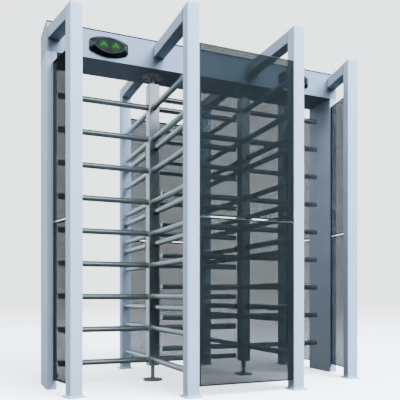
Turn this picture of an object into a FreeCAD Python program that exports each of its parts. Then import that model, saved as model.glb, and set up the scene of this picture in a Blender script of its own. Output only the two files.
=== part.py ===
import FreeCAD, Part
import math
import os

# Full height turnstile for two lanes. Millimetres, X along the overhead beam,
# Y through the lanes (front is -Y), Z up, origin on the floor under the middle.

# Posts, arms and their plates
tube_side = 80.0
tube_wall = 4.0
tube_corner = 6.0
post_top = 2385.0
post_cap_thickness = 4.0
plate_overhang = 16.0
plate_thickness = 6.0
plate_corner = 8.0
anchor_edge = 9.0
anchor_hole_radius = 4.5
inner_post_gap = 28.0
outer_post_inset = 118.0
outer_post_y = 475.0
outer_toe_deg = 12.0

# Overhead beam and its end columns
beam_depth = 294.0
beam_height = 190.0
beam_rise = 29.0
beam_sheet = 3.0
end_cap_sheet = 3.0
column_width = 65.0
column_wall = 3.0
column_corner = 4.0
column_gap = 32.0
foot_hole_spacing = 190.0
foot_hole_radius = 6.5
cable_hole_radius = 16.0

# Lids, their seal and hinges
seal_height = 6.0
seal_width = 14.0
lid_sheet = 3.0
lid_overhang = 2.0
lid_gap = 4.0
hinge_radius = 5.0
hinge_pin_radius = 2.5
hinge_fit = 0.05
hinge_stand_off = 2.0
hinge_leaf_height = 22.0
hinge_leaf_sheet = 2.0
hinge_knuckle = 24.0
knuckle_gap = 0.5
hinge_share = (0.12, 0.5, 0.88)

# Rotors
rotor_spacing = 750.0
wing_radius = 680.0
bar_radius = 20.0
bar_wall = 2.0
level_count = 9
lowest_level = 153.0
top_bar_margin = 90.0
column_bottom = 110.0
column_top_gap = 66.0
bar_plug_lip = 3.0
bar_plug_depth = 15.0
plug_fit = 0.1
end_block = 30.0

# Floor pivots
floor_disc_radius = 70.0
floor_disc_height = 12.0
floor_disc_pcd = 104.0
floor_disc_hole_radius = 4.5
pivot_radius = 14.0
pivot_engagement = 26.0
running_fit = 0.05

# Upper bearings
flange_radius = 75.0
flange_thickness = 8.0
neck_radius = 42.0
neck_height = 26.0
spindle_radius = 20.0
spindle_clearance = 1.0
bearing_radius = 35.0
bearing_height = 22.0
spindle_stand = 20.0

# Index discs and locks
disc_radius = 90.0
disc_thickness = 12.0
disc_stand_off = 16.0
hub_radius = 30.0
hub_gap = 0.3
notch_half_width = 11.0
notch_depth = 13.0
lock_plate_x = 130.0
lock_plate_y = 128.0
lock_plate_thickness = 5.0
pawl_pivot_x = 60.0
pawl_pivot_y = 112.0
pawl_width = 12.0
pawl_boss_radius = 12.0
pawl_pin_radius = 6.0
pawl_pin_shoulder = 10.0
pawl_pin_stand = 6.0
pawl_nose_width = 12.0
pawl_nose_offset = 64.0
pawl_nose_gap = 2.5
pawl_tail = 52.0
shoulder_gap = 0.3
solenoid_width = 32.0
solenoid_length = 50.0
solenoid_height = 54.0
plunger_radius = 4.0
plunger_arm = 42.0
plunger_gap = 0.3
plunger_bore_gap = 0.1
plunger_inside = 30.0
solenoid_set_back = 16.0

# Comb bars on the inner posts
comb_levels = (2, 4, 5, 7)
comb_tip_gap = 35.0
comb_cap_radius = 23.0
comb_cap_length = 42.0
comb_cap_end = 5.0
comb_cap_fit = 0.1

# Barrier panels
panel_bottom = 64.0
panel_top_gap = 68.0
panel_split = 1102.5
panel_split_gap = 9.0
panel_sheet = 2.0
panel_depth = 14.0
panel_gap = 0.3
screw_inset = 106.0
screw_radius = 2.5
screw_hole_gap = 0.3
screw_head_radius = 4.75
screw_head_height = 2.75

# Displays on the beam
display_inset = 414.0
display_rise = 92.0
display_width = 268.0
display_height = 138.0
display_side = 70.0
display_corner = 18.0
display_depth = 36.0
display_lip = 10.0
lens_rim = 5.5
lens_width = 196.0
lens_height = 94.0
lens_side = 26.0
lens_corner = 10.0
lens_thickness = 4.0
lens_recess = 2.0
lens_fit = 0.2
mark_thickness = 1.0
arrow_spread = 84.0
arrow_width = 56.0
arrow_height = 36.0
arrow_hollow = 7.0
arrow_rise = 6.0
cross_span = 70.0
cross_bar = 15.0

# Control box inside the beam
control_length = 280.0
control_depth = 180.0
control_height = 110.0

# Worked out from the sizes above
rotor_x = rotor_spacing / 2
half_tube = tube_side / 2
plate_side = tube_side + 2 * plate_overhang
anchor_offset = plate_side / 2 - anchor_edge
beam_top = post_top + beam_rise
beam_bottom = beam_top - beam_height
beam_face = beam_depth / 2
beam_end = rotor_x + wing_radius + column_gap + column_width
inner_post_y = wing_radius + inner_post_gap + half_tube
outer_post_x = beam_end - outer_post_inset
column_top = beam_bottom - column_top_gap
panel_top = beam_bottom - panel_top_gap
comb_tip_y = half_tube + comb_tip_gap
seal_top = beam_top + seal_height
lid_top = seal_top + lid_sheet
arm_bottom = post_top - tube_side
toe = math.radians(outer_toe_deg)
bearing_top = beam_bottom + bearing_height
disc_bottom = bearing_top + disc_stand_off
disc_top = disc_bottom + disc_thickness
spindle_top = disc_top + spindle_stand
lock_plate_top = beam_bottom + beam_sheet + lock_plate_thickness
screw_seat = (panel_depth + panel_sheet) / 2
hinge_y = beam_face + hinge_stand_off + hinge_radius
hinge_z = beam_top
display_x = beam_end - display_inset
display_z = beam_bottom + display_rise

# The bars of the two rotors and the comb share the height in thirds of a pitch,
# so that they pass between each other.
level_thirds = 3
level_pitch = (column_top - top_bar_margin - lowest_level) / (level_count - 1 + 1 / level_thirds)
right_rotor_lift = level_pitch / level_thirds
comb_drop = level_pitch / level_thirds
sides = (("left", -1), ("right", 1))
ends = (("front", -1), ("rear", 1))
origin = FreeCAD.Vector(0, 0, 0)
along_x = FreeCAD.Vector(1, 0, 0)
along_y = FreeCAD.Vector(0, 1, 0)
along_z = FreeCAD.Vector(0, 0, 1)


def vec(x, y, z):
    return FreeCAD.Vector(x, y, z)


def block(x0, x1, y0, y1, z0, z1):
    """A box between two values on each axis."""
    return Part.makeBox(x1 - x0, y1 - y0, z1 - z0, vec(x0, y0, z0))


def rod(radius, start, direction, length):
    return Part.makeCylinder(radius, length, start, direction)


def ring(outer, inner, z0, z1):
    """A round ring about the Z axis."""
    body = rod(outer, vec(0, 0, z0), along_z, z1 - z0)
    return body.cut(rod(inner, vec(0, 0, z0), along_z, z1 - z0))


def prism(points, z0, z1):
    """A plan outline, drawn with straight sides, pulled up from z0 to z1."""
    corners = [vec(x, y, z0) for x, y in points]
    face = Part.Face(Part.makePolygon(corners + corners[:1]))
    return face.extrude(vec(0, 0, z1 - z0))


def upright_edges(solid):
    """The straight edges that run along Z."""
    found = []
    for edge in solid.Edges:
        step = edge.Vertexes[-1].Point - edge.Vertexes[0].Point
        if step.Length > 0 and abs(step.z) > 0.999 * step.Length:
            found.append(edge)
    return found


def rounded_block(size_x, size_y, z0, z1, corner):
    """A block centred on Z with rounded upright corners."""
    body = block(-size_x / 2, size_x / 2, -size_y / 2, size_y / 2, z0, z1)
    return body.makeFillet(corner, upright_edges(body))


def box_tube(size_x, size_y, wall, corner, z0, z1):
    """A rectangular tube that stands on z0."""
    outer = rounded_block(size_x, size_y, z0, z1, corner)
    inner = rounded_block(size_x - 2 * wall, size_y - 2 * wall, z0, z1, max(corner - wall, wall / 2))
    return outer.cut(inner)


def placed(shape, x, y, angle_deg=0.0):
    """A copy turned about Z, then moved in plan."""
    copy = shape.copy()
    copy.rotate(origin, along_z, angle_deg)
    copy.translate(vec(x, y, 0))
    return copy


def mirrored(shape, side, end):
    """A copy of a front left piece (side -1, end -1) in another quarter."""
    copy = shape.copy()
    if side > 0:
        copy = copy.mirror(origin, along_x)
    if end > 0:
        copy = copy.mirror(origin, along_y)
    return copy


def quarters(shape):
    """The same piece in all four quarters of the plan."""
    return [mirrored(shape, side, end) for _, side in sides for _, end in ends]


def save(name, shapes):
    """Write one node, a single solid or a group of separate solids."""
    shape = shapes[0] if len(shapes) == 1 else Part.makeCompound(shapes)
    shape.exportStep(os.path.join("parts", name + ".step"))


# Posts. The outer posts turn with their arms, the inner ones stand square.
post_places = {
    "outer": (-outer_post_x, -outer_post_y, outer_toe_deg),
    "inner": (-rotor_x, -inner_post_y, 0.0),
}


def make_post():
    return box_tube(tube_side, tube_side, tube_wall, tube_corner, plate_thickness,
                    post_top - post_cap_thickness)


def make_post_cap():
    return rounded_block(tube_side, tube_side, post_top - post_cap_thickness, post_top, tube_corner)


def make_base_plate():
    plate = rounded_block(plate_side, plate_side, 0, plate_thickness, plate_corner)
    for sx in (-1, 1):
        for sy in (-1, 1):
            hole_at = vec(sx * anchor_offset, sy * anchor_offset, 0)
            plate = plate.cut(rod(anchor_hole_radius, hole_at, along_z, plate_thickness))
    return plate


def at_posts(shape):
    """A piece repeated at all eight posts."""
    found = []
    for x, y, angle in post_places.values():
        found.extend(quarters(placed(shape, x, y, angle)))
    return found


def make_arm(x, y, angle):
    """The arm behind a post, cut off where it meets the beam's front face."""
    reach = 2 * inner_post_y
    arm = box_tube(tube_side, tube_side, tube_wall, tube_corner, 0, reach)
    arm.rotate(origin, along_x, -90)
    arm.translate(vec(0, half_tube, arm_bottom + half_tube))
    arm = placed(arm, x, y, angle)
    beyond = block(-2 * beam_end, 2 * beam_end, -beam_face, 2 * reach, 0, 2 * post_top)
    return arm.cut(beyond)


def build_frame():
    for kind, (x, y, angle) in post_places.items():
        post = placed(make_post(), x, y, angle)
        for end_name, end in ends:
            for side_name, side in sides:
                save(f"{end_name}_{side_name}_{kind}_post", [mirrored(post, side, end)])
        save(f"{kind}_arms", quarters(make_arm(x, y, angle)))
    save("post_caps", at_posts(make_post_cap()))
    save("base_plates", at_posts(make_base_plate()))


# End columns, which carry the beam on plates with two anchor holes and a cable hole
def make_end_column():
    return box_tube(column_width, beam_depth, column_wall, column_corner, plate_thickness, beam_bottom)


def make_column_foot():
    foot = rounded_block(column_width, beam_depth, 0, plate_thickness, column_corner)
    for sy in (-1, 1):
        hole_at = vec(0, sy * foot_hole_spacing / 2, 0)
        foot = foot.cut(rod(foot_hole_radius, hole_at, along_z, plate_thickness))
    return foot.cut(rod(cable_hole_radius, origin, along_z, plate_thickness))


def build_end_columns():
    column_x = beam_end - column_width / 2
    for side_name, side in sides:
        save(f"{side_name}_end_column", [placed(make_end_column(), side * column_x, 0)])
    save("column_feet", [placed(make_column_foot(), side * column_x, 0) for _, side in sides])


# Overhead beam: an open trough with caps on its ends
def make_trough():
    inside = beam_end - end_cap_sheet
    body = block(-inside, inside, -beam_face, beam_face, beam_bottom, beam_top)
    hollow = block(-beam_end, beam_end, -beam_face + beam_sheet, beam_face - beam_sheet,
                   beam_bottom + beam_sheet, beam_top)
    trough = body.cut(hollow)
    for _, side in sides:
        for x, radius in ((rotor_x, neck_radius + shoulder_gap),
                          (beam_end - column_width / 2, cable_hole_radius)):
            trough = trough.cut(rod(radius, vec(side * x, 0, beam_bottom), along_z, beam_sheet))
    return trough


def make_end_cap():
    return block(-beam_end, -beam_end + end_cap_sheet, -beam_face, beam_face, beam_bottom, beam_top)


def make_seal():
    outer = block(-beam_end, beam_end, -beam_face, beam_face, beam_top, seal_top)
    inner = block(-beam_end + seal_width, beam_end - seal_width, -beam_face + seal_width,
                  beam_face - seal_width, beam_top, seal_top)
    return outer.cut(inner)


def hinge_places():
    """The middle of each hinge on the left lid."""
    length = beam_end - lid_gap / 2
    return [-beam_end + share * length for share in hinge_share]


def make_lid():
    """The left lid, with its own middle knuckle at each hinge."""
    lid = block(-beam_end - lid_overhang, -lid_gap / 2, -beam_face - lid_overhang, beam_face,
                seal_top, lid_top)
    for x in hinge_places():
        half = hinge_knuckle / 2
        strap = block(x - half, x + half, beam_face, hinge_y, seal_top, lid_top)
        web = block(x - half, x + half, hinge_y, hinge_y + hinge_radius, hinge_z, lid_top)
        knuckle = rod(hinge_radius, vec(x - half, hinge_y, hinge_z), along_x, hinge_knuckle)
        bore = rod(hinge_pin_radius + hinge_fit, vec(x - half, hinge_y, hinge_z), along_x, hinge_knuckle)
        lid = lid.fuse(strap).fuse(web).fuse(knuckle).cut(bore)
    return lid.removeSplitter()


def make_hinge(x):
    """The fixed leaf on the beam's rear face with its two outer knuckles, and the pin."""
    half = hinge_knuckle / 2 + knuckle_gap
    outer = half + hinge_knuckle
    leaf_top = hinge_z - hinge_radius - 1.0
    leaf = block(x - outer, x + outer, beam_face, beam_face + hinge_leaf_sheet,
                 leaf_top - hinge_leaf_height, leaf_top)
    for start in (x - outer, x + half):
        tab = block(start, start + hinge_knuckle, beam_face, hinge_y, leaf_top - hinge_leaf_sheet,
                    hinge_z)
        knuckle = rod(hinge_radius, vec(start, hinge_y, hinge_z), along_x, hinge_knuckle)
        bore = rod(hinge_pin_radius, vec(start, hinge_y, hinge_z), along_x, hinge_knuckle)
        leaf = leaf.fuse(tab).fuse(knuckle).cut(bore)
    pin = rod(hinge_pin_radius, vec(x - outer, hinge_y, hinge_z), along_x, 2 * outer)
    return [leaf.removeSplitter(), pin]


def build_beam():
    save("beam_trough", [make_trough()])
    save("beam_end_caps", [make_end_cap(), make_end_cap().mirror(origin, along_x)])
    save("lid_seal", [make_seal()])
    lid = make_lid()
    save("left_lid", [lid])
    save("right_lid", [lid.mirror(origin, along_x)])
    hinges = []
    for x in hinge_places():
        for side in (1, -1):
            hinges.extend(make_hinge(side * x))
    save("lid_hinges", hinges)
    save("control_box", [block(-control_length / 2, control_length / 2, -control_depth / 2,
                               control_depth / 2, beam_bottom + beam_sheet,
                               beam_bottom + beam_sheet + control_height)])


# Barrier panels: folded trays, one above the other with a gap between
def panel_heights():
    middle = panel_split_gap / 2
    return ((panel_bottom, panel_split - middle), (panel_split + middle, panel_top))


def make_screw(at, direction):
    """A round-headed screw whose shank fills the hole in the folded edge."""
    shank = rod(screw_radius, at - direction * panel_sheet, direction, panel_sheet)
    head = Part.makeCone(screw_head_radius, screw_head_radius / 2, screw_head_height, at, direction)
    return shank.fuse(head)


def screw_hole(at, direction):
    return rod(screw_radius + screw_hole_gap, at - direction * 2 * panel_sheet, direction,
               3 * panel_sheet)


def make_middle_panel(z0, z1):
    """A front panel between the two inner posts, flush with their front faces."""
    front = -inner_post_y - half_tube
    reach = rotor_x - half_tube - panel_gap
    tray = block(-reach, reach, front, front + panel_depth, z0, z1)
    hollow = block(-reach + panel_sheet, reach - panel_sheet, front + panel_sheet,
                   front + panel_depth, z0 + panel_sheet, z1 - panel_sheet)
    tray = tray.cut(hollow)
    screws = []
    for z in (z0 + screw_inset, z1 - screw_inset):
        for side in (-1, 1):
            at = vec(side * (reach - panel_sheet), front + screw_seat, z)
            direction = vec(-side, 0, 0)
            tray = tray.cut(screw_hole(at, direction))
            screws.append(make_screw(at, direction))
    return tray, screws


def side_panel_end(across):
    """How far along the arm the beam's face lies, at a place across the arm."""
    return (outer_post_y - beam_face - across * math.sin(toe)) / math.cos(toe)


def make_side_panel(z0, z1):
    """The front left side panel under the outer arm, open towards the outside."""
    half = panel_depth / 2
    slant = panel_sheet / math.cos(toe)
    screw_x = half - screw_seat
    start = half_tube + panel_gap
    outline = [(-half, start), (half, start), (half, side_panel_end(half) - panel_gap),
               (-half, side_panel_end(-half) - panel_gap)]
    inner_start = start + panel_sheet
    inner_half = half - panel_sheet
    hollow = [(-half - 1, inner_start), (inner_half, inner_start),
              (inner_half, side_panel_end(inner_half) - panel_gap - slant),
              (-half - 1, side_panel_end(-half - 1) - panel_gap - slant)]
    tray = prism(outline, z0, z1).cut(prism(hollow, z0 + panel_sheet, z1 - panel_sheet))
    screws = []
    post_way = along_y
    column_way = vec(-math.sin(toe), -math.cos(toe), 0)
    for z in (z0 + screw_inset, z1 - screw_inset):
        for at, direction in ((vec(screw_x, inner_start, z), post_way),
                              (vec(screw_x, side_panel_end(screw_x) - panel_gap - slant, z), column_way)):
            tray = tray.cut(screw_hole(at, direction))
            screws.append(make_screw(at, direction))
    at_post = (-outer_post_x, -outer_post_y, outer_toe_deg)
    return placed(tray, *at_post), [placed(screw, *at_post) for screw in screws]


def build_panels():
    trays = {"front_middle_panels": [], "rear_middle_panels": [],
             "left_side_panels": [], "right_side_panels": []}
    all_screws = []
    for z0, z1 in panel_heights():
        tray, screws = make_middle_panel(z0, z1)
        for end_name, end in ends:
            trays[f"{end_name}_middle_panels"].append(mirrored(tray, -1, end))
            all_screws.extend(mirrored(screw, -1, end) for screw in screws)
        tray, screws = make_side_panel(z0, z1)
        for side_name, side in sides:
            for _, end in ends:
                trays[f"{side_name}_side_panels"].append(mirrored(tray, side, end))
                all_screws.extend(mirrored(screw, side, end) for screw in screws)
    for name, shapes in trays.items():
        save(name, shapes)
    save("panel_screws", all_screws)


# Fixed comb bars that reach from the inner posts towards the rotor columns
def level_height(level):
    """The height of a wing bar on the left rotor, counted from 1 at the top."""
    return lowest_level + (level_count - level) * level_pitch


def make_comb_bar(z):
    start = -inner_post_y + half_tube
    stop = -comb_tip_y - comb_cap_end
    bar = rod(bar_radius, vec(-rotor_x, start, z), along_y, stop - start)
    return bar.cut(rod(bar_radius - bar_wall, vec(-rotor_x, start, z), along_y, stop - start))


def make_comb_cap(z):
    start = -comb_tip_y - comb_cap_length
    cap = rod(comb_cap_radius, vec(-rotor_x, start, z), along_y, comb_cap_length)
    round_edge = [edge for edge in cap.Edges if edge.BoundBox.YMin > start + 1 and edge.Closed]
    cap = cap.makeFillet(comb_cap_end - 1, round_edge)
    socket = rod(bar_radius + comb_cap_fit, vec(-rotor_x, start, z), along_y,
                 comb_cap_length - comb_cap_end)
    return cap.cut(socket)


def build_combs():
    heights = [level_height(level) - comb_drop for level in comb_levels]
    bars = [make_comb_bar(z) for z in heights]
    caps = [make_comb_cap(z) for z in heights]
    for end_name, end in ends:
        save(f"{end_name}_comb_bars", [mirrored(bar, side, end) for _, side in sides for bar in bars])
    save("comb_caps", [piece for cap in caps for piece in quarters(cap)])


# Rotors. Everything is made about the Z axis and then moved to its place.
def wings(shape):
    return [placed(shape, 0, 0, 90.0 * turn) for turn in range(4)]


def make_wing_bar(z):
    start = vec(half_tube, 0, z)
    length = wing_radius - bar_plug_lip - half_tube
    return rod(bar_radius, start, along_x, length).cut(rod(bar_radius - bar_wall, start, along_x, length))


def make_bar_plug(z):
    seat = wing_radius - bar_plug_lip
    lip = rod(bar_radius, vec(seat, 0, z), along_x, bar_plug_lip)
    round_edge = [edge for edge in lip.Edges if edge.BoundBox.XMin > seat + 1 and edge.Closed]
    lip = lip.makeFillet(bar_plug_lip - 1, round_edge)
    spigot = rod(bar_radius - bar_wall - plug_fit, vec(seat - bar_plug_depth, 0, z), along_x,
                 bar_plug_depth)
    return lip.fuse(spigot)


def make_end_block(z0, z1):
    inside = tube_side - 2 * tube_wall - 2 * plug_fit
    return rounded_block(inside, inside, z0, z1, max(tube_corner - tube_wall, tube_wall / 2))


def make_bottom_plug():
    plug = make_end_block(column_bottom, column_bottom + end_block)
    return plug.cut(rod(pivot_radius + running_fit, vec(0, 0, column_bottom), along_z, end_block))


def make_spindle():
    shaft = rod(spindle_radius, vec(0, 0, column_top), along_z, spindle_top - column_top)
    return make_end_block(column_top - end_block, column_top).fuse(shaft)


def make_index_disc():
    disc = rod(disc_radius, vec(0, 0, disc_bottom), along_z, disc_thickness)
    hub = rod(hub_radius, vec(0, 0, bearing_top + hub_gap), along_z, disc_bottom - bearing_top - hub_gap)
    disc = disc.fuse(hub)
    notch = block(disc_radius - notch_depth, disc_radius + 1, -notch_half_width, notch_half_width,
                  disc_bottom, disc_top)
    for piece in wings(notch):
        disc = disc.cut(piece)
    return disc.cut(rod(spindle_radius + running_fit, vec(0, 0, bearing_top), along_z,
                        disc_top - bearing_top))


def make_floor_pivot():
    disc = rod(floor_disc_radius, origin, along_z, floor_disc_height)
    for turn in range(4):
        angle = math.radians(45 + 90 * turn)
        hole_at = vec(floor_disc_pcd / 2 * math.cos(angle), floor_disc_pcd / 2 * math.sin(angle), 0)
        disc = disc.cut(rod(floor_disc_hole_radius, hole_at, along_z, floor_disc_height))
    pin_top = column_bottom + pivot_engagement
    return disc.fuse(rod(pivot_radius, origin, along_z, pin_top))


def make_bearing_housing():
    flange = rod(flange_radius, vec(0, 0, beam_bottom - flange_thickness), along_z, flange_thickness)
    neck = rod(neck_radius, vec(0, 0, beam_bottom), along_z, neck_height)
    pocket = rod(bearing_radius, vec(0, 0, beam_bottom), along_z, neck_height)
    shaft_hole = rod(spindle_radius + spindle_clearance, vec(0, 0, beam_bottom - flange_thickness),
                     along_z, flange_thickness)
    return flange.fuse(neck).cut(pocket).cut(shaft_hole)


def build_rotors():
    for side_name, side in sides:
        lift = right_rotor_lift if side > 0 else 0.0
        x = side * rotor_x
        heights = [level_height(level) + lift for level in range(1, level_count + 1)]
        bars = [bar for z in heights for bar in wings(make_wing_bar(z))]
        plugs = [plug for z in heights for plug in wings(make_bar_plug(z))]
        column = box_tube(tube_side, tube_side, tube_wall, tube_corner, column_bottom, column_top)
        pieces = {"rotor_column": [column], "wing_bars": bars, "bar_plugs": plugs,
                  "bottom_plug": [make_bottom_plug()], "top_spindle": [make_spindle()],
                  "index_disc": [make_index_disc()], "floor_pivot": [make_floor_pivot()]}
        for name, shapes in pieces.items():
            save(f"{side_name}_{name}", [placed(shape, x, 0) for shape in shapes])
    housings = [placed(make_bearing_housing(), side * rotor_x, 0) for _, side in sides]
    save("bearing_housings", housings)
    bearing = ring(bearing_radius - running_fit, spindle_radius + running_fit, beam_bottom,
                   bearing_top)
    save("upper_bearings", [placed(bearing, side * rotor_x, 0) for _, side in sides])


# Locks. Each rotor has two pawls, half a turn apart, and a solenoid for each.
def make_lock_plate():
    bottom = beam_bottom + beam_sheet
    plate = block(-lock_plate_x, lock_plate_x, -lock_plate_y, lock_plate_y, bottom, lock_plate_top)
    plate = plate.cut(rod(neck_radius + shoulder_gap, vec(0, 0, bottom), along_z, lock_plate_thickness))
    shoulder = rod(pawl_pin_shoulder, vec(pawl_pivot_x, pawl_pivot_y, lock_plate_top), along_z,
                   disc_bottom - shoulder_gap - lock_plate_top)
    pin_height = disc_top + pawl_pin_stand - lock_plate_top
    pin = rod(pawl_pin_radius, vec(pawl_pivot_x, pawl_pivot_y, lock_plate_top), along_z, pin_height)
    post = shoulder.fuse(pin)
    return plate.fuse(post).fuse(placed(post, 0, 0, 180)).removeSplitter()


def make_pawl():
    """The lever whose nose swings in to the notch on the +Y side of the disc."""
    nose_x = pawl_pivot_x - pawl_nose_offset
    half_nose = pawl_nose_width / 2
    low = pawl_pivot_y - pawl_width / 2
    high = pawl_pivot_y + pawl_width / 2
    tip = disc_radius + pawl_nose_gap
    lever = prism([(nose_x - half_nose, tip), (nose_x + half_nose, tip), (nose_x + half_nose, low),
                   (pawl_pivot_x + pawl_tail, low), (pawl_pivot_x + pawl_tail, high),
                   (nose_x - half_nose, high)], disc_bottom, disc_top)
    pivot = vec(pawl_pivot_x, pawl_pivot_y, disc_bottom)
    lever = lever.fuse(rod(pawl_boss_radius, pivot, along_z, disc_thickness))
    lever = lever.cut(rod(pawl_pin_radius + running_fit, pivot, along_z, disc_thickness))
    return lever.removeSplitter()


def make_plunger():
    """The solenoid's rod, whose round nose pushes on the pawl's tail."""
    start = pawl_pivot_y - pawl_width / 2 - solenoid_set_back - plunger_inside
    nose = pawl_pivot_y - pawl_width / 2 - plunger_gap - plunger_radius
    x = pawl_pivot_x + plunger_arm
    z = disc_bottom + disc_thickness / 2
    shaft = rod(plunger_radius, vec(x, start, z), along_y, nose - start)
    return shaft.fuse(Part.makeSphere(plunger_radius, vec(x, nose, z)))


def make_solenoid():
    front = pawl_pivot_y - pawl_width / 2 - solenoid_set_back
    x = pawl_pivot_x + plunger_arm
    case = block(x - solenoid_width / 2, x + solenoid_width / 2, front - solenoid_length, front,
                 lock_plate_top, lock_plate_top + solenoid_height)
    bore_at = vec(x, front - plunger_inside - 1, disc_bottom + disc_thickness / 2)
    return case.cut(rod(plunger_radius + plunger_bore_gap, bore_at, along_y, plunger_inside + 1))


def build_locks():
    plates = []
    solenoids = []
    for side_name, side in sides:
        x = side * rotor_x
        plates.append(placed(make_lock_plate(), x, 0))
        for way, turn in (("entry", 0), ("exit", 180)):
            save(f"{side_name}_{way}_pawl", [placed(make_pawl(), x, 0, turn)])
            save(f"{side_name}_{way}_plunger", [placed(make_plunger(), x, 0, turn)])
            solenoids.append(placed(make_solenoid(), x, 0, turn))
    save("lock_plates", plates)
    save("lock_solenoids", solenoids)


# Displays: oval housings on the beam's front and rear faces
def oval(width, height, side, corner, front, thickness):
    """A plate with bowed top and bottom and short upright sides. It faces -Y, its face at front."""
    half = width / 2
    low = side / 2
    top = height / 2
    points = [vec(-half, front, low), vec(0, front, top), vec(half, front, low)]
    lower = [vec(half, front, -low), vec(0, front, -top), vec(-half, front, -low)]
    edges = [Part.Arc(*points).toShape(), Part.LineSegment(points[2], lower[0]).toShape(),
             Part.Arc(*lower).toShape(), Part.LineSegment(lower[2], points[0]).toShape()]
    plate = Part.Face(Part.Wire(edges)).extrude(vec(0, thickness, 0))
    across = [edge for edge in plate.Edges if edge.BoundBox.YLength > thickness / 2]
    return plate.makeFillet(corner, across)


def front_outline(plate):
    """The outline of the face that a plate turns towards -Y."""
    return min(plate.Faces, key=lambda face: face.CenterOfMass.y).OuterWire


def make_display_housing():
    """An oval lip on the beam and a body that narrows from it to a rim round the lens."""
    front = -beam_face - display_depth
    lip = oval(display_width, display_height, display_side, display_corner,
               -beam_face - display_lip, display_lip)
    rim = oval(lens_width + 2 * lens_rim, lens_height + 2 * lens_rim, lens_side + lens_rim,
               lens_corner + lens_rim, front, display_depth)
    body = lip.fuse(Part.makeLoft([front_outline(lip), front_outline(rim)], True, True))
    pocket = oval(lens_width, lens_height, lens_side, lens_corner, front, lens_recess + lens_thickness)
    return body.cut(pocket)


def make_lens():
    gap = 2 * lens_fit
    return oval(lens_width - gap, lens_height - gap, lens_side, lens_corner - lens_fit,
                -beam_face - display_depth + lens_recess, lens_thickness)


def mark_plate(points):
    """A thin mark that lies on the front of the lens."""
    back = -beam_face - display_depth + lens_recess
    corners = [vec(x, back - mark_thickness, z) for x, z in points]
    face = Part.Face(Part.makePolygon(corners + corners[:1]))
    return face.extrude(vec(0, mark_thickness, 0))


def make_arrow(x):
    """An arrowhead that points up, with a hollow foot."""
    half = arrow_width / 2
    foot = arrow_rise - arrow_height / 2
    return mark_plate([(x, foot + arrow_height), (x + half, foot), (x, foot + arrow_hollow),
                       (x - half, foot)])


def make_cross():
    reach = cross_span / 2
    half = cross_bar / 2
    bar = mark_plate([(-reach, -half), (reach, -half), (reach, half), (-reach, half)])
    crossing = bar.copy()
    crossing.rotate(origin, along_y, 45)
    bar.rotate(origin, along_y, -45)
    return bar.fuse(crossing).removeSplitter()


def show(shape, side, end):
    """Put a mark or a housing, made at the origin, in its place on the beam."""
    copy = shape.copy()
    copy.translate(vec(side * display_x, 0, display_z))
    if end > 0:
        copy.rotate(origin, along_z, 180)
    return copy


def build_displays():
    places = [(side, end) for _, side in sides for _, end in ends]
    save("display_housings", [show(make_display_housing(), *place) for place in places])
    save("display_lenses", [show(make_lens(), *place) for place in places])
    arrows = [make_arrow(-arrow_spread / 2), make_arrow(arrow_spread / 2)]
    save("go_arrows", [show(arrow, -1, end) for arrow in arrows for _, end in ends])
    save("stop_crosses", [show(make_cross(), 1, end) for _, end in ends])


os.makedirs("parts", exist_ok=True)
build_frame()
build_end_columns()
build_beam()
build_panels()
build_combs()
build_rotors()
build_locks()
build_displays()
print("nodes written:", len(os.listdir("parts")))
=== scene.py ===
import math
import random

import bpy
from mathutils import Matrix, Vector


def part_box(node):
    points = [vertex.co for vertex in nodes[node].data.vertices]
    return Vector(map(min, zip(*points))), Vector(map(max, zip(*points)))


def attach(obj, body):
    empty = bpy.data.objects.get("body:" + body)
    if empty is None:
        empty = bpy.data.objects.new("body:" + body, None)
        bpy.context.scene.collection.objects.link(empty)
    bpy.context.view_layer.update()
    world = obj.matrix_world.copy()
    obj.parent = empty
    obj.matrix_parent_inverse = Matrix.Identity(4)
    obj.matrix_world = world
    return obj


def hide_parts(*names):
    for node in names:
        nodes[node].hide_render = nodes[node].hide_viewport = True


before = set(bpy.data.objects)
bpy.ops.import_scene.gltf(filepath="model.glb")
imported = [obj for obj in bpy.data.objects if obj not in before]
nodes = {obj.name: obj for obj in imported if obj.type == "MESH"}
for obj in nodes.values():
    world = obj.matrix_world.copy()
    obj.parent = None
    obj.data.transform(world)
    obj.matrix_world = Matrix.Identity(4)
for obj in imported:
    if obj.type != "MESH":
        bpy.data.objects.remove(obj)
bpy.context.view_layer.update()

ends = (("front", -1), ("rear", 1))
sides = (("left", -1), ("right", 1))
mm = 0.001
print("frame loaded,", len(nodes), "nodes")


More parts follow.
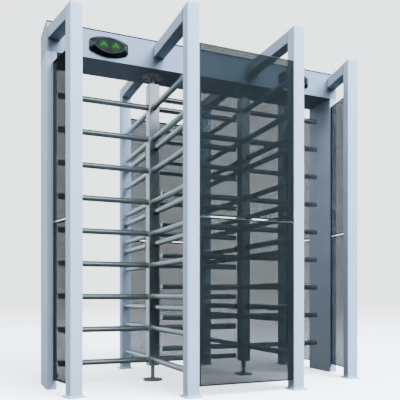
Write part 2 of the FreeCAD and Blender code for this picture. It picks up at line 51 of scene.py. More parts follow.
class Wire:
    # an output of a node; sums with it add their own nodes
    def __init__(self, tree, socket=None):
        self.tree = tree
        self.socket = socket

    def node(self, kind, settings=None, inputs=None, out=0):
        made = self.tree.nodes.new(kind)
        for key, value in (settings or {}).items():
            if key == "stops":
                fillRamp(made.color_ramp, value)
            else:
                setattr(made, key, value)
        for key, value in (inputs or {}).items():
            if isinstance(value, Wire):
                self.tree.links.new(value.socket, made.inputs[key])
            else:
                made.inputs[key].default_value = value
        return Wire(self.tree, made.outputs[out] if made.outputs else None)

    def maths(self, operation, *values):
        return self.node("ShaderNodeMath", {"operation": operation}, dict(enumerate(values)))

    def __add__(self, other):
        return self.maths("ADD", self, other)

    def __radd__(self, other):
        return self.maths("ADD", other, self)

    def __sub__(self, other):
        return self.maths("SUBTRACT", self, other)

    def __rsub__(self, other):
        return self.maths("SUBTRACT", other, self)

    def __mul__(self, other):
        return self.maths("MULTIPLY", self, other)

    def __rmul__(self, other):
        return self.maths("MULTIPLY", other, self)

    def __truediv__(self, other):
        return self.maths("DIVIDE", self, other)

    def __rtruediv__(self, other):
        return self.maths("DIVIDE", other, self)

    def __abs__(self):
        return self.maths("ABSOLUTE", self)

    def part(self, axis):
        return self.node("ShaderNodeSeparateXYZ", None, {0: self}, out=axis)

    def band(self, low, high, start=0.0, stop=1.0):
        # start below low, stop above high, and smooth in between
        settings = {"interpolation_type": "SMOOTHSTEP"}
        values = {0: self, 1: low, 2: high, 3: start, 4: stop}
        return self.node("ShaderNodeMapRange", settings, values)

    def stretch(self, scale):
        return self.node("ShaderNodeVectorMath", {"operation": "MULTIPLY"}, {0: self, 1: scale})

    def noise(self, scale, detail=2.0, roughness=0.5):
        inputs = {"Vector": self, "Scale": scale, "Detail": detail, "Roughness": roughness}
        return self.node("ShaderNodeTexNoise", None, inputs)

    def blend(self, first, second):
        # colours, the wire being how much of the second shows
        return self.node("ShaderNodeMix", {"data_type": "RGBA"}, {0: self, 6: first, 7: second}, out=2)


def fillRamp(ramp, stops):
    while len(ramp.elements) < len(stops):
        ramp.elements.new(0.5)
    for element, (place, colour) in zip(ramp.elements, stops):
        element.position = place
        element.color = colour


def opaque(colour, share=1.0):
    return (colour[0] * share, colour[1] * share, colour[2] * share, 1.0)


def newFinish(name):
    made = bpy.data.materials.new(name)
    made.use_nodes = True
    made.node_tree.nodes.clear()
    return made, Wire(made.node_tree)


def restPlace(wire):
    # where a point lies at rest, in metres, whichever way its body has turned
    return wire.node("ShaderNodeTexCoord", out="Object")


def closeFinish(made, wire, changing, fixed, height=None, bump=(0.2, 0.0005)):
    # the surface shader, with what changes over it and what is the same all over
    inputs = dict(fixed)
    inputs.update(changing)
    if height is not None:
        lift = {"Strength": bump[0], "Distance": bump[1], "Height": height}
        inputs["Normal"] = wire.node("ShaderNodeBump", None, lift)
    shader = wire.node("ShaderNodeBsdfPrincipled", None, inputs)
    wire.node("ShaderNodeOutputMaterial", None, {"Surface": shader})
    return made


# Finishes

framePaint = {
    "colour": (0.385, 0.42, 0.495),
    "low": (0.335, 0.365, 0.42),    # the tint of the dust towards the floor
    "roughness": 0.46,
    "peel": 650.0,                  # orange peel, waves per metre
    "dustTop": 0.16,
    "dustShare": 0.5,
    "edgeShadow": (0.006, 0.008, 0.009),  # painted shadow: a dark strip round the lids' edges, standing in for the shadow in the gap beside the seal
    "edgeShadowFade": 0.1 * mm,
    "armPaintedShade": 0.72,               # painted shade: how much darker the arms, the beam and the lids are painted beside the posts
    "beamPaintedShade": 0.53,
    "lidPaintedShade": 0.5,
}


def paintFinish(name, look, share=1.0, edgeShadow=None):
    # share darkens the paint as painted shade; the last argument is the height band of a dark edge strip,
    # painted shadow of the gap at the lids' edges
    made, wire = newFinish(name)
    place = restPlace(wire)
    cloud = place.noise(3.0, 3.0)
    peel = place.noise(look["peel"], 2.0)
    dust = place.part(2).band(0.0, look["dustTop"], 1.0, 0.0) * place.noise(28.0, 5.0)
    tone = cloud.band(0.3, 0.75).blend(opaque(look["colour"], 0.965 * share), opaque(look["colour"], share))
    colour = (dust * look["dustShare"]).blend(tone, opaque(look["low"], 0.8))
    # the dark edge strip is painted shadow of the gap at the lids' edges
    if edgeShadow:
        low, high = edgeShadow
        fade = look["edgeShadowFade"]
        inside = (place.part(2).band(low - fade, low)
                  * place.part(2).band(high, high + fade, 1.0, 0.0))
        colour = inside.blend(colour, opaque(look["edgeShadow"]))
    rough = look["roughness"] + cloud * 0.08 + dust * 0.25
    changing = {"Base Color": colour, "Roughness": rough}
    fixed = {"Specular IOR Level": 0.3}
    return closeFinish(made, wire, changing, fixed, peel, (0.12, 0.0004))


panelPaint = {
    "colour": (0.009, 0.0102, 0.0096),
    "grain": 1400.0,
    "roughness": 0.6,
    "edgePaintedLight": 3.0,               # painted light: the folded edges are painted this much paler than the sheet, for the light they catch
    "edgeRoughness": 0.36,
    "edgeShine": 0.5,
}


# share makes a paler copy of the sheet's paint, used as painted light on the folded edges
def panelFinish(name, share, roughness, shine):
    made, wire = newFinish(name)
    place = restPlace(wire)
    grain = place.noise(panelPaint["grain"], 2.0)
    cloud = place.noise(5.0, 3.0)
    colour = cloud.band(0.25, 0.75).blend(opaque(panelPaint["colour"], 0.85 * share),
                                          opaque(panelPaint["colour"], 1.2 * share))
    rough = roughness + 0.15 * grain
    changing = {"Base Color": colour, "Roughness": rough}
    return closeFinish(made, wire, changing, {"Specular IOR Level": shine}, grain, (0.3, 0.0003))


barSteel = {
    "colour": (0.47, 0.51, 0.52),
    "dark": (0.34, 0.375, 0.385),
    "roughness": 0.2,
    "lines": 900.0,                 # brush lines per metre round the bar
    "along": 6.0,                   # and along it
    "halfWidth": 24 * mm,           # a bar's half width and a little more
    "fade": 2 * mm,
}


def barFinish(name, middleY, upright=False):
    # brushed along each bar: those whose Y is near middleY run along X, the rest along Y
    made, wire = newFinish(name)
    place = restPlace(wire)
    lines = barSteel["lines"]
    along = barSteel["along"]
    if upright:
        brushed = place.stretch((lines, lines, along)).noise(1.0, 3.0, 0.6)
    else:
        brushX = place.stretch((along, lines, lines)).noise(1.0, 3.0, 0.6)
        brushY = place.stretch((lines, along, lines)).noise(1.0, 3.0, 0.6)
        half = barSteel["halfWidth"]
        onX = abs(place.part(1) - middleY).band(half, half + barSteel["fade"], 1.0, 0.0)
        brushed = brushX * onX + brushY * (1 - onX)
    handled = place.noise(7.0, 4.0)
    colour = (brushed.band(0.3, 0.7) * 0.5 + handled.band(0.35, 0.7) * 0.4).blend(
        opaque(barSteel["dark"]), opaque(barSteel["colour"]))
    rough = barSteel["roughness"] + brushed * 0.12 + handled * 0.08
    changing = {"Base Color": colour, "Roughness": rough}
    return closeFinish(made, wire, changing, {"Metallic": 1.0}, brushed, (0.1, 0.0003))


def metalFinish(name, colour, roughness, grain=220.0, metallic=1.0, bump=0.15):
    # turned, ground, plated or cast metal with a fine even grain
    made, wire = newFinish(name)
    place = restPlace(wire)
    fine = place.noise(grain, 3.0, 0.6)
    broad = place.noise(14.0, 3.0)
    tone = (fine * 0.5 + broad * 0.5).band(0.3, 0.7)
    changing = {"Base Color": tone.blend(opaque(colour, 0.78), opaque(colour, 1.1)),
                "Roughness": roughness + fine * 0.12}
    return closeFinish(made, wire, changing, {"Metallic": metallic}, fine, (bump, 0.0003))


def mouldedFinish(name, colour, roughness, grain=900.0, bump=0.12, **fixed):
    # rubber and plastic: a soft grain and slightly uneven gloss
    made, wire = newFinish(name)
    place = restPlace(wire)
    fine = place.noise(grain, 2.0)
    broad = place.noise(20.0, 3.0)
    changing = {"Base Color": broad.band(0.3, 0.7).blend(opaque(colour, 0.8), opaque(colour, 1.15)),
                "Roughness": roughness + broad * 0.1}
    return closeFinish(made, wire, changing, {"IOR": 1.47, **fixed}, fine, (bump, 0.0002))


lensLook = {
    "colour": (0.003, 0.006, 0.004),
    "lamp": (0.006, 0.014, 0.009),
    "roughness": 0.1,
    "goGlow": (0.004, 0.022, 0.002),  # painted glow: the lens's colour is tinted round lit arrows as if lit by them
    "stopGlow": (0.03, 0.004, 0.006),
    "reach": 42 * mm,               # how far the glow reaches from the middle of a mark
    "glowShare": 0.7,
    "middle": 0.738,                # from the middle of the beam to the middle of a display
    "apart": 42 * mm,               # and from there to the middle of each arrow
}
lampPitch = 5.5 * mm


def lensFinish():
    made, wire = newFinish("smokedLens")
    place = restPlace(wire)
    low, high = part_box("display_lenses")
    across = abs(place.part(0)) - lensLook["middle"]
    upward = place.part(2) - (low.z + high.z) / 2
    beside = abs(across) - lensLook["apart"]
    reach = lensLook["reach"]
    outer = reach * reach
    nearArrow = (beside * beside + upward * upward).band(outer * 0.1, outer, 1.0, 0.0)
    nearCross = (across * across + upward * upward).band(outer * 0.1, outer, 1.0, 0.0)
    # arrows lie front left and rear right, crosses in the other two places
    arrowSide = (place.part(0) * place.part(1)).band(-0.001, 0.001)
    dots = lampDots(place)
    face = dots.blend(opaque(lensLook["colour"], 0.4), opaque(lensLook["lamp"]))
    share = lensLook["glowShare"]
    # painted glow of the lit marks on the lens round them
    lit = (arrowSide * nearArrow * share).blend(face, opaque(lensLook["goGlow"]))
    lit = ((1 - arrowSide) * nearCross * share).blend(lit, opaque(lensLook["stopGlow"]))
    rough = lensLook["roughness"] + place.noise(40.0, 2.0) * 0.06
    return closeFinish(made, wire, {"Base Color": lit, "Roughness": rough}, {"Specular IOR Level": 0.12})


def lampDots(place):
    # 1 in a round spot on each lamp of the matrix behind the lens, 0 between them
    across = place.maths("FRACT", place.part(0) / lampPitch) - 0.5
    upward = place.maths("FRACT", place.part(2) / lampPitch) - 0.5
    return (across * across + upward * upward).band(0.05, 0.14, 1.0, 0.0)


def signFinish(name, lit, unlit, glow):
    made, wire = newFinish(name)
    place = restPlace(wire)
    dots = lampDots(place)
    colour = dots.blend(opaque(unlit), opaque(lit))
    changing = {"Base Color": colour, "Roughness": 0.4 + place.noise(60.0) * 0.1,
                "Emission Color": dots.blend(opaque(lit, 0.45), opaque(lit))}
    return closeFinish(made, wire, changing, {"Emission Strength": glow, "Specular IOR Level": 0.05})


paint = paintFinish("framePaint", framePaint)
# darker copies of the frame paint: painted shade on the arms, the beam and the lids
armShadedPaint = paintFinish("armShadedPaint", framePaint, framePaint["armPaintedShade"])
beamShadedPaint = paintFinish("beamShadedPaint", framePaint, framePaint["beamPaintedShade"])
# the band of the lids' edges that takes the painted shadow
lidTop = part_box("left_lid")[1].z
lidEdgeShadow = (lidTop - 2.7 * mm, lidTop - 0.4 * mm)
lidShadedPaint = paintFinish("lidShadedPaint", framePaint, framePaint["lidPaintedShade"], lidEdgeShadow)
panelCoat = panelFinish("panelPaint", 1.0, panelPaint["roughness"], 0.0)
# the folds wear the paler copy: painted light on the panels' edges
panelEdgeLit = panelFinish("panelEdgeLit", panelPaint["edgePaintedLight"], panelPaint["edgeRoughness"],
                        panelPaint["edgeShine"])
wingSteel = barFinish("wingSteel", 0.0)
combSteel = barFinish("combSteel", 9.0)  # no comb bar lies there, so all of them run along Y
columnSteel = barFinish("columnSteel", 0.0, upright=True)
castIron = metalFinish("castIron", (0.52, 0.56, 0.55), 0.5, 300.0, 0.1, 0.3)
pivotIron = metalFinish("pivotIron", (0.30, 0.33, 0.34), 0.36, 180.0, 0.8)
brightSteel = metalFinish("turnedSteel", (0.42, 0.43, 0.44), 0.28, 900.0, 1.0, 0.05)
toolSteel = metalFinish("groundSteel", (0.36, 0.36, 0.35), 0.34, 700.0, 1.0, 0.06)
zincPlate = metalFinish("zincPlate", (0.52, 0.53, 0.55), 0.3, 120.0)
screwMetal = metalFinish("screwSteel", (0.20, 0.21, 0.22), 0.3)
weldMetal = metalFinish("weldBead", (0.34, 0.35, 0.36), 0.36, 420.0, 1.0, 0.5)
blackRubber = mouldedFinish("blackRubber", (0.006, 0.006, 0.0065), 0.5)
sealRubber = mouldedFinish("sealRubber", (0.010, 0.012, 0.013), 0.7, 500.0, 0.4)
glossBlack = mouldedFinish("glossBlack", (0.003, 0.0035, 0.0035), 0.14, 700.0, 0.05,
                           **{"Specular IOR Level": 0.35})
coilBlack = mouldedFinish("coilBlack", (0.03, 0.03, 0.03), 0.45)
boxGrey = mouldedFinish("boxGrey", (0.40, 0.42, 0.43), 0.5)
smokedLens = lensFinish()
goGreen = signFinish("goGreen", (0.022, 0.115, 0.012), (0.008, 0.045, 0.004), 0.5)
stopRed = signFinish("stopRed", (0.16, 0.016, 0.022), (0.06, 0.007, 0.009), 3.0)
print("finishes made")

# Which finish each kept node takes, by the end of its name
finishByName = (
    ("_post", paint), ("post_caps", paint), ("_arms", armShadedPaint), ("base_plates", paint),
    ("end_column", paint), ("column_feet", paint), ("beam_trough", beamShadedPaint),
    ("beam_end_caps", beamShadedPaint), ("_lid", lidShadedPaint), ("lid_seal", sealRubber),
    ("lid_hinges", zincPlate), ("control_box", boxGrey), ("panel_screws", screwMetal),
    ("comb_bars", combSteel), ("comb_caps", blackRubber),
    ("rotor_column", columnSteel), ("wing_bars", wingSteel), ("bar_plugs", wingSteel),
    ("bottom_plug", brightSteel), ("top_spindle", brightSteel), ("index_disc", toolSteel),
    ("floor_pivot", pivotIron), ("bearing_housings", castIron), ("upper_bearings", brightSteel),
    ("lock_plates", toolSteel), ("lock_solenoids", coilBlack), ("_pawl", toolSteel),
    ("_plunger", brightSteel), ("display_housings", glossBlack), ("display_lenses", smokedLens),
    ("go_arrows", goGreen), ("stop_crosses", stopRed), ("_panels", panelCoat),
)
for nodeName, node in nodes.items():
    finish = next(made for ending, made in finishByName if nodeName.endswith(ending))
    node.data.materials.clear()
    node.data.materials.append(finish)
print("nodes finished")


# Building pieces

def addPiece(name, build, finishes, body, replaced=(), smoothTo=35.0):
    mesh = bpy.data.meshes.new(name)
    mesh.from_pydata(build.points, [], build.faces)
    mesh.shade_smooth()
    mesh.set_sharp_from_angle(angle=math.radians(smoothTo))
    for finish in finishes:
        mesh.materials.append(finish)
    mesh.polygons.foreach_set("material_index", build.wears)
    piece = bpy.data.objects.new(name, mesh)
    bpy.context.scene.collection.objects.link(piece)
    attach(piece, body)
    if replaced:
        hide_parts(*replaced)


class Build:
    # points and faces gathered for one piece
    def __init__(self):
        self.points = []
        self.faces = []
        self.wears = []             # which of the piece's finishes each face wears

    def add(self, points, faces, place=None, flip=False, wears=0):
        start = len(self.points)
        self.wears.extend([wears] * len(faces))
        self.points.extend(place(*point) if place else point for point in points)
        for face in faces:
            turned = reversed(face) if flip else face
            self.faces.append([start + index for index in turned])


def handed(place):
    # true if a place function turns shapes inside out
    base = Vector(place(0, 0, 0))
    u, v, d = (Vector(place(*step)) - base for step in ((1, 0, 0), (0, 1, 0), (0, 0, 1)))
    return u.cross(v).dot(d) < 0


def addBlock(build, low, high, place):
    # a plain block between two corners, laid out by a place function
    points = [(u, v, d) for d in (low[2], high[2]) for v in (low[1], high[1])
              for u in (low[0], high[0])]
    faces = [(0, 2, 3, 1), (4, 5, 7, 6), (0, 1, 5, 4), (2, 6, 7, 3), (0, 4, 6, 2), (1, 3, 7, 5)]
    build.add(points, faces, place, handed(place))


def strips(start, stop, look):
    # what is left of the sheet beside and between a row of holes
    count = int((stop - start - 2 * look["margin"]) / look["pitch"])
    first = (start + stop) / 2 - (count - 1) / 2 * look["pitch"]
    found = []
    edge = start
    for index in range(count):
        middle = first + index * look["pitch"]
        found.append((edge, middle - look["hole"] / 2))
        edge = middle + look["hole"] / 2
    return found + [(edge, stop)]


def perforatedSheet(build, place, spanU, spanV, look):
    # strips both ways leave the square holes open between them
    sheet = look["sheet"]
    inset = look["crossInset"]
    for low, high in strips(*spanU, look):
        addBlock(build, (low, spanV[0], 0.0), (high, spanV[1], sheet), place)
    for low, high in strips(*spanV, look):
        addBlock(build, (spanU[0], low, inset), (spanU[1], high, sheet - inset), place)


def foldProfile(look):
    # (inset, depth) round the folded edge, from the sheet's face and back to its rear
    bend = look["bend"]
    sheet = look["sheet"]
    depth = look["depth"]
    steps = look["bendSteps"]
    turns = [math.radians(90 * step / steps) for step in range(steps + 1)]
    outer = [(bend - bend * math.sin(turn), bend - bend * math.cos(turn)) for turn in turns]
    inside = bend - sheet
    inner = [(bend - inside * math.sin(turn), bend - inside * math.cos(turn))
             for turn in reversed(turns)]
    return [(look["lip"], 0.0)] + outer + [(0.0, depth), (sheet, depth)] + inner + [(look["lip"], sheet)]


def foldedEdge(build, place, spanU, spanV, look, slant=0.0):
    # the four folded edges of a tray; its right edge leans by slant per unit of depth
    profile = foldProfile(look)
    points = []
    for inset, depth in profile:
        left = spanU[0] + inset
        right = spanU[1] - inset + depth * slant
        low = spanV[0] + inset
        high = spanV[1] - inset
        points.extend(((left, low, depth), (right, low, depth), (right, high, depth), (left, high, depth)))
    count = len(profile)
    faces = []
    for row in range(count):
        below = 4 * row
        above = 4 * ((row + 1) % count)
        for corner in range(4):
            ahead = (corner + 1) % 4
            faces.append((below + corner, above + corner, above + ahead, below + ahead))
    build.add(points, faces, place, handed(place), wears=1)


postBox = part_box("front_left_inner_post")
tubeHalf = (postBox[1].x - postBox[0].x) / 2
barHalf = 20 * mm


# Barrier panels: folded trays of perforated sheet

panelLook = {
    "pitch": 6 * mm,
    "hole": 1.75 * mm,              # the side of each square hole, set by how dark the mesh looks
    "margin": 3 * mm,
    "sheet": 0.4 * mm,
    "crossInset": 0.04 * mm,        # the strips one way are thinner by this on each side
    "depth": 14 * mm,
    "bend": 4 * mm,
    "bendSteps": 4,
    "lip": 4.5 * mm,
    "split": 1.1025,                # the middle of the gap between the two trays
    "splitGap": 9 * mm,
    "toe": math.radians(12.0),      # how far the outer arms and their panels turn outwards
    "postGap": 0.3 * mm,
}
sideLook = dict(panelLook, hole=2.1 * mm)  # seen slantwise, the side panels are more open


def trayHeights(box):
    half = panelLook["splitGap"] / 2
    return ((box[0].z, panelLook["split"] - half), (panelLook["split"] + half, box[1].z))


def addTray(build, place, spanU, spanV, look, slant=0.0):
    lip = look["lip"]
    innerU = (spanU[0] + lip, spanU[1] - lip)
    innerV = (spanV[0] + lip, spanV[1] - lip)
    perforatedSheet(build, place, innerU, innerV, look)
    foldedEdge(build, place, spanU, spanV, look, slant)


def makeMiddlePanels():
    for endName, end in ends:
        node = endName + "_middle_panels"
        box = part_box(node)
        face = box[0].y if end < 0 else box[1].y
        build = Build()

        def place(u, v, d):
            return (u, face - end * d, v)

        for span in trayHeights(box):
            addTray(build, place, (box[0].x, box[1].x), span, panelLook)
        addPiece(endName + "PerforatedPanels", build, (panelCoat, panelEdgeLit), "frame",
                 (node,))


def makeSidePanels():
    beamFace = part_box("beam_trough")[1].y
    for sideName, side in sides:
        node = sideName + "_side_panels"
        heights = trayHeights(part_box(node))
        build = Build()
        for endName, end in ends:
            low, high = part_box(f"{endName}_{sideName}_outer_post")
            post = (low + high) / 2
            toe = panelLook["toe"]
            along = Vector((side * math.sin(toe), -end * math.cos(toe), 0))
            out = Vector((side * math.cos(toe), end * math.sin(toe), 0))
            half = panelLook["depth"] / 2
            start = tubeHalf + panelLook["postGap"]
            reach = (abs(post.y) - beamFace - half * math.sin(toe)) / math.cos(toe)
            stop = reach - panelLook["postGap"]

            def place(u, v, d):
                spot = post + along * u + out * (d - half)
                return (spot.x, spot.y, v)

            for span in heights:
                addTray(build, place, (start, stop), span, sideLook, math.tan(toe))
        addPiece(sideName + "PerforatedPanels", build, (panelCoat, panelEdgeLit), "frame",
                 (node,))


makeMiddlePanels()
makeSidePanels()
print("perforated panels made")


# Weld beads, where bars, arms and plates join

weldLook = {
    "barLeg": 4.5 * mm,
    "frameLeg": 5.0 * mm,
    "bulge": 0.64,                  # how far the bead's face stands out, as a share of its leg
    "ripple": 5.0 * mm,             # the spacing of its ripples
    "uneven": 0.09,                 # how much its size varies, as a share of its leg
    "step": 1.6 * mm,
    "sunk": 0.4 * mm,               # how far its root goes into the metal
    "corner": 6 * mm,               # the rounded corners of the square tubes
    "cornerSteps": 4,
}
levelCount = 9                      # of the wing bars on each column
combCount = 6                       # levels from the lowest comb bar to the highest
combPlaces = (0, 2, 3, 5)           # and those of them that hold a bar
chance = random.Random(11)


def roundPath(radius):
    # points round a bar with the way out at each
    count = int(2 * math.pi * radius / weldLook["step"])
    turns = [2 * math.pi * index / count for index in range(count)]
    return [((radius * math.cos(turn), radius * math.sin(turn)), (math.cos(turn), math.sin(turn)))
            for turn in turns]


def squarePath(half):
    # points round a square tube with rounded corners
    corner = weldLook["corner"]
    straight = 2 * (half - corner)
    along = int(straight / weldLook["step"])
    found = []
    for quarter in range(4):
        turn = math.pi / 2 * quarter
        out = (math.cos(turn), math.sin(turn))
        ahead = (-out[1], out[0])
        for index in range(along):
            run = straight * (index / along - 0.5)
            found.append(((out[0] * half + ahead[0] * run, out[1] * half + ahead[1] * run), out))
        for index in range(weldLook["cornerSteps"]):
            swing = turn + math.pi / 2 * index / weldLook["cornerSteps"]
            way = (math.cos(swing), math.sin(swing))
            middle = ((out[0] + ahead[0]) * (half - corner), (out[1] + ahead[1]) * (half - corner))
            found.append(((middle[0] + way[0] * corner, middle[1] + way[1] * corner), way))
    return found


def addBead(build, path, leg, origin, axes):
    # a rippled fillet round a tube; axes are across, upward and along the tube away from the joint
    across, upward, along = axes
    sunk = weldLook["sunk"]
    phase = chance.uniform(0, 2 * math.pi)
    points = []
    for index, ((u, v), (outU, outV)) in enumerate(path):
        wave = math.sin(2 * math.pi * index * weldLook["step"] / weldLook["ripple"] + phase)
        size = leg * (1 + weldLook["uneven"] * (0.6 * wave + chance.uniform(-0.4, 0.4)))
        root = origin + across * u + upward * v
        out = across * outU + upward * outV
        face = size * weldLook["bulge"]
        points.extend(tuple(spot) for spot in (
            root - out * sunk - along * sunk, root + out * size - along * sunk,
            root + (out + along) * face, root - out * sunk + along * size))
    count = len(path)
    faces = []
    for index in range(count):
        here = 4 * index
        there = 4 * ((index + 1) % count)
        for corner in range(4):
            ahead = (corner + 1) % 4
            faces.append((here + corner, there + corner, there + ahead, here + ahead))
    build.add(points, faces, flip=across.cross(upward).dot(along) > 0)


def levelHeights(node, count):
    low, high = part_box(node)
    bottom = low.z + barHalf
    return [bottom + (high.z - barHalf - bottom) * index / (count - 1) for index in range(count)]


def makeWingWelds():
    path = roundPath(barHalf)
    up = Vector((0, 0, 1))
    for sideName, _ in sides:
        low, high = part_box(sideName + "_rotor_column")
        middle = (low + high) / 2
        build = Build()
        for height in levelHeights(sideName + "_wing_bars", levelCount):
            for quarter in range(4):
                way = Vector((math.cos(math.pi / 2 * quarter), math.sin(math.pi / 2 * quarter), 0))
                origin = Vector((middle.x, middle.y, height)) + way * tubeHalf
                addBead(build, path, weldLook["barLeg"], origin, (way.cross(up), up, way))
        addPiece(sideName + "WingWelds", build, (weldMetal,), sideName + "_rotor")


def makeCombWelds():
    path = roundPath(barHalf)
    up = Vector((0, 0, 1))
    build = Build()
    for endName, end in ends:
        low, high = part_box(endName + "_comb_bars")
        heights = levelHeights(endName + "_comb_bars", combCount)
        for sideName, _ in sides:
            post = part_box(f"{endName}_{sideName}_inner_post")
            x = (post[0].x + post[1].x) / 2
            for index in combPlaces:
                way = Vector((0, -end, 0))
                origin = Vector((x, low.y if end < 0 else high.y, heights[index]))
                addBead(build, path, weldLook["barLeg"], origin, (way.cross(up), up, way))
    addPiece("combWelds", build, (paint,), "frame")


def makeFrameWelds():
    path = squarePath(tubeHalf)
    up = Vector((0, 0, 1))
    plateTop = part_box("front_left_inner_post")[0].z
    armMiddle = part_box("inner_arms")[0].z + tubeHalf
    build = Build()
    for endName, end in ends:
        for sideName, side in sides:
            for placeName, toe in (("inner", 0.0), ("outer", panelLook["toe"])):
                low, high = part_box(f"{endName}_{sideName}_{placeName}_post")
                middle = (low + high) / 2
                way = Vector((side * math.sin(toe), -end * math.cos(toe), 0))
                across = way.cross(up)
                foot = Vector((middle.x, middle.y, plateTop))
                addBead(build, path, weldLook["frameLeg"], foot, (across, way, up))
                joint = Vector((middle.x, middle.y, armMiddle)) + way * tubeHalf
                addBead(build, path, weldLook["frameLeg"], joint, (across, up, way))
    addPiece("frameWelds", build, (paint,), "frame")


makeWingWelds()
makeCombWelds()
makeFrameWelds()
print("welds made")


# Bolts under the bearing flanges

boltLook = {
    "across": 13 * mm,              # a hexagon head, over its flats
    "head": 5.3 * mm,
    "chamfer": 0.7 * mm,
    "washer": 8.5 * mm,
    "washerSheet": 1.6 * mm,
    "circle": 60 * mm,              # the radius that the bolts stand on
    "count": 4,
    "headSides": 6,
    "sunk": 0.1 * mm,
}


def addTurned(build, centre, rings, sides=24):
    # a closed solid about a vertical line, from pairs of a radius and a depth below the centre
    points = []
    for radius, depth in rings:
        for index in range(sides):
            turn = 2 * math.pi * index / sides
            points.append((centre.x + radius * math.cos(turn), centre.y + radius * math.sin(turn),
                           centre.z - depth))
    faces = [tuple(range(sides))]
    for row in range(len(rings) - 1):
        for index in range(sides):
            ahead = (index + 1) % sides
            faces.append((row * sides + index, (row + 1) * sides + index,
                          (row + 1) * sides + ahead, row * sides + ahead))
    last = (len(rings) - 1) * sides
    faces.append(tuple(range(last + sides - 1, last - 1, -1)))
    build.add(points, faces)


def makeFlangeBolts():
    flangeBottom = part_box("bearing_housings")[0].z
    corner = boltLook["across"] / math.sqrt(3)
    build = Build()
    for sideName, _ in sides:
        low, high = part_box(sideName + "_rotor_column")
        middle = (low + high) / 2
        for index in range(boltLook["count"]):
            turn = 2 * math.pi * (index + 0.5) / boltLook["count"]
            spot = Vector((middle.x + boltLook["circle"] * math.cos(turn),
                           middle.y + boltLook["circle"] * math.sin(turn), flangeBottom))
            sheet = boltLook["washerSheet"]
            sunk = boltLook["sunk"]
            addTurned(build, spot, ((boltLook["washer"], -sunk), (boltLook["washer"], sheet)))
            foot = sheet + boltLook["head"]
            chamfer = boltLook["chamfer"]
            addTurned(build, spot, ((corner, sheet - sunk), (corner, foot - chamfer),
                                    (corner - chamfer, foot)), boltLook["headSides"])
    addPiece("flangeBolts", build, (screwMetal,), "frame")


makeFlangeBolts()
print("bolts made")


# Camera, light and floor

photoSize = 400
view = {
    "place": (-1.6585, -3.8976, 0.6069),
    "turn": -23.21,                 # degrees about Z from looking along +Y
    "focal": 557.1,                 # in photo pixels
    "centre": (201.26, 297.37),     # where the level line of sight meets the photo
    "sensor": 36.0,
}


def makeCamera():
    made = bpy.data.cameras.new("photoCamera")
    made.sensor_fit = "HORIZONTAL"
    made.sensor_width = view["sensor"]
    made.lens = view["focal"] / photoSize * view["sensor"]
    made.shift_x = (photoSize / 2 - view["centre"][0]) / photoSize
    made.shift_y = (view["centre"][1] - photoSize / 2) / photoSize
    camera = bpy.data.objects.new("photoCamera", made)
    camera.location = view["place"]
    camera.rotation_euler = (math.pi / 2, 0, math.radians(view["turn"]))
    bpy.context.scene.collection.objects.link(camera)
    bpy.context.scene.camera = camera


lightLook = {
    "sky": 2.6,                     # the strength of the light from straight above
    "backdrop": 3.0,                # how bright the white behind the object looks
    "backdropTint": (0.90, 0.975, 1.0),
    # the soft sky for all but mirrored rays: height as below, colour, and how strong it is there
    "soft": ((0.0, (0.025, 0.026, 0.013), 1.0), (0.47, (0.025, 0.026, 0.013), 1.6),
             (0.53, (0.03, 0.034, 0.038), 1.0), (0.68, (0.32, 0.34, 0.36), 1.0),
             (1.0, (0.97, 0.98, 1.0), 1.0)),
    # what bare metal mirrors, by height: from straight down (0) over level (0.5) to straight up (1)
    "mirrored": ((0.0, (0.06, 0.07, 0.07)), (0.44, (0.25, 0.32, 0.34)), (0.5, (0.33, 0.43, 0.45)),
                 (0.59, (0.42, 0.53, 0.55)), (0.63, (0.75, 0.9, 0.95)), (0.66, (3.6, 4.0, 4.7)),
                 (0.70, (4.2, 4.6, 5.4)), (0.76, (1.0, 1.15, 1.25)), (1.0, (0.5, 0.64, 0.7))),
    "card": (1.15, 1.45, 1.65),     # a bright card behind on the left, for the metal's left sides
    "cardWay": (-0.5, 0.866, 0.0),
    "cardEdge": (0.6, 0.85),        # where its side edges fade, as the cosine off its middle
    "cardFoot": (-0.3, 0.0),
    "cardTop": (0.3, 0.6),
    "key": {"place": (3.4, -8.0, 10.0), "aim": (0.0, 0.0, 1.2), "size": 9.0, "power": 12900.0,
            "colour": (0.55, 0.77, 1.0)},
    "fill": {"place": (-7.0, -0.5, 5.6), "aim": (-1.0, 0.0, 1.3), "size": 3.0, "power": 800.0,
             "colour": (0.60, 0.80, 1.0)},
}


def makeLight(name, look):
    made = bpy.data.lights.new(name, "AREA")
    made.shape = "SQUARE"
    made.size = look["size"]
    made.energy = look["power"]
    made.color = look["colour"]
    light = bpy.data.objects.new(name, made)
    light.location = look["place"]
    aim = Vector(look["aim"]) - Vector(look["place"])
    light.rotation_euler = aim.to_track_quat("-Z", "Y").to_euler()
    light.visible_camera = False
    light.visible_glossy = False    # metal mirrors the surroundings alone, not the lamps
    bpy.context.scene.collection.objects.link(light)


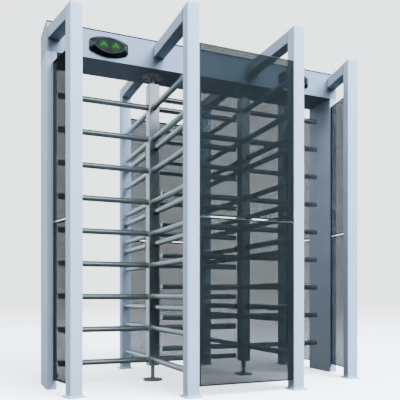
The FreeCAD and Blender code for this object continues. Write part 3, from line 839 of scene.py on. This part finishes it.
def makeWorld():
    # a plain backdrop behind the object; the light itself is bright overhead and dim from below
    world = bpy.data.worlds.new("studio")
    world.use_nodes = True
    world.node_tree.nodes.clear()
    wire = Wire(world.node_tree)
    way = wire.node("ShaderNodeTexCoord", out="Generated")
    upward = way.part(2)
    height = upward * 0.5 + 0.5
    stops = [(place, opaque(colour, share)) for place, colour, share in lightLook["soft"]]
    shade = wire.node("ShaderNodeValToRGB", {"stops": stops}, {0: height})
    light = wire.node("ShaderNodeBackground", None, {"Color": shade, "Strength": lightLook["sky"]})
    stops = [(place, opaque(colour)) for place, colour in lightLook["mirrored"]]
    shade = wire.node("ShaderNodeValToRGB", {"stops": stops}, {0: height})
    facing = wire.node("ShaderNodeVectorMath", {"operation": "DOT_PRODUCT"},
                       {0: way, 1: lightLook["cardWay"]}, out=1)
    card = (facing.band(*lightLook["cardEdge"]) * upward.band(*lightLook["cardFoot"])
            * upward.band(*lightLook["cardTop"], 1.0, 0.0))
    shade = card.blend(shade, opaque(lightLook["card"]))
    mirrored = wire.node("ShaderNodeBackground", None, {"Color": shade})
    glossy = wire.node("ShaderNodeLightPath", out="Is Glossy Ray")
    light = wire.node("ShaderNodeMixShader", None, {0: glossy, 1: light, 2: mirrored})
    back = wire.node("ShaderNodeBackground", None, {"Color": opaque(lightLook["backdropTint"]),
                                                    "Strength": lightLook["backdrop"]})
    seen = wire.node("ShaderNodeLightPath", out="Is Camera Ray")
    mixed = wire.node("ShaderNodeMixShader", None, {0: seen, 1: light, 2: back})
    wire.node("ShaderNodeOutputWorld", None, {"Surface": mixed})
    bpy.context.scene.world = world


floorLook = {"reach": 30.0, "colour": (0.93, 0.93, 0.94), "lift": 1.6}


def makeFloor():
    reach = floorLook["reach"]
    mesh = bpy.data.meshes.new("floor")
    corners = [(-reach, -reach, 0), (reach, -reach, 0), (reach, reach, 0), (-reach, reach, 0)]
    mesh.from_pydata(corners, [], [(0, 1, 2, 3)])
    made, wire = newFinish("paleFloor")
    place = restPlace(wire)
    tone = place.noise(0.8).blend(opaque(floorLook["colour"], 0.99), opaque(floorLook["colour"]))
    fixed = {"Roughness": 0.8, "Emission Color": (1, 1, 1, 1), "Emission Strength": floorLook["lift"]}
    mesh.materials.append(closeFinish(made, wire, {"Base Color": tone}, fixed))
    floor = bpy.data.objects.new("floor", mesh)
    floor.visible_diffuse = False   # so that the undersides stay as deep as under soft overhead light
    floor.visible_glossy = False
    bpy.context.scene.collection.objects.link(floor)


makeCamera()
makeWorld()
makeLight("key", lightLook["key"])
makeLight("fill", lightLook["fill"])
makeFloor()
print("camera, light and floor made")
